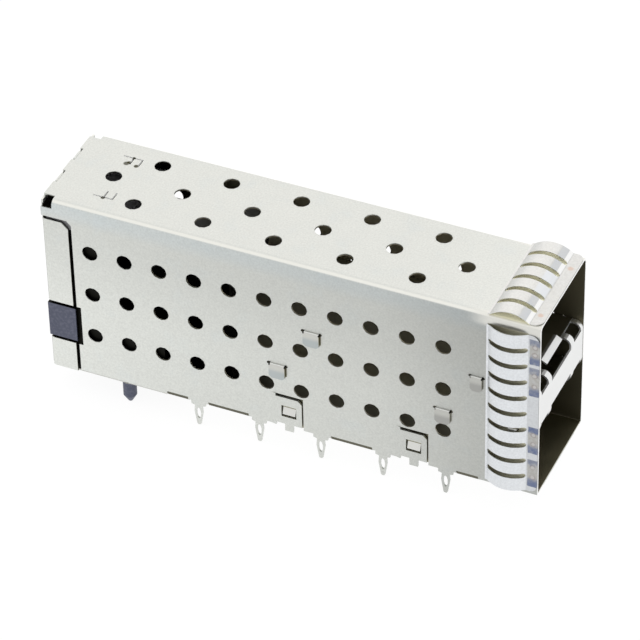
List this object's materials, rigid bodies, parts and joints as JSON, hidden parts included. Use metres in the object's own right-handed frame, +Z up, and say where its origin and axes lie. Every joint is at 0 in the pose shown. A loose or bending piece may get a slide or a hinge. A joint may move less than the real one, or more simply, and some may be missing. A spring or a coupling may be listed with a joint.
{
  "type": "sfp cage",
  "caption": "Stacked sheet-metal transceiver cage with vent holes, press-fit tails, spring fingers round the front, a separator between its ports and the plastic connector inside.",
  "frame": {"origin": "on the board's surface, midway between the two locating pegs of the connector housing", "axes": "+Z up from the board, +Y from the open front to the rear cover, +X across the ports to the right seen from the front"},
  "size_m": [0.0166, 0.0637, 0.03],
  "materials": {
    "cage_steel": "satin",
    "spring_steel": "bright",
    "housing_plastic": "matte",
    "contact_metal": "bright"
  },
  "bodies": {
    "root": {"bottom_plate": "cage_steel", "cage_shell": "cage_steel", "connector_housing": "housing_plastic", "contact_lower_bottom_1": "contact_metal", "contact_lower_bottom_10": "contact_metal", "contact_lower_bottom_2": "contact_metal", "contact_lower_bottom_3": "contact_metal", "contact_lower_bottom_4": "contact_metal", "contact_lower_bottom_5": "contact_metal", "contact_lower_bottom_6": "contact_metal", "contact_lower_bottom_7": "contact_metal", "contact_lower_bottom_8": "contact_metal", "contact_lower_bottom_9": "contact_metal", "contact_lower_top_1": "contact_metal", "contact_lower_top_10": "contact_metal", "contact_lower_top_2": "contact_metal", "contact_lower_top_3": "contact_metal", "contact_lower_top_4": "contact_metal", "contact_lower_top_5": "contact_metal", "contact_lower_top_6": "contact_metal", "contact_lower_top_7": "contact_metal", "contact_lower_top_8": "contact_metal", "contact_lower_top_9": "contact_metal", "contact_upper_bottom_1": "contact_metal", "contact_upper_bottom_10": "contact_metal", "contact_upper_bottom_2": "contact_metal", "contact_upper_bottom_3": "contact_metal", "contact_upper_bottom_4": "contact_metal", "contact_upper_bottom_5": "contact_metal", "contact_upper_bottom_6": "contact_metal", "contact_upper_bottom_7": "contact_metal", "contact_upper_bottom_8": "contact_metal", "contact_upper_bottom_9": "contact_metal", "contact_upper_top_1": "contact_metal", "contact_upper_top_10": "contact_metal", "contact_upper_top_2": "contact_metal", "contact_upper_top_3": "contact_metal", "contact_upper_top_4": "contact_metal", "contact_upper_top_5": "contact_metal", "contact_upper_top_6": "contact_metal", "contact_upper_top_7": "contact_metal", "contact_upper_top_8": "contact_metal", "contact_upper_top_9": "contact_metal", "emi_spring_bottom": "spring_steel", "emi_spring_left": "spring_steel", "emi_spring_right": "spring_steel", "emi_spring_top": "spring_steel", "rear_cover": "cage_steel", "separator": "cage_steel"}
  },
  "joints": []
}
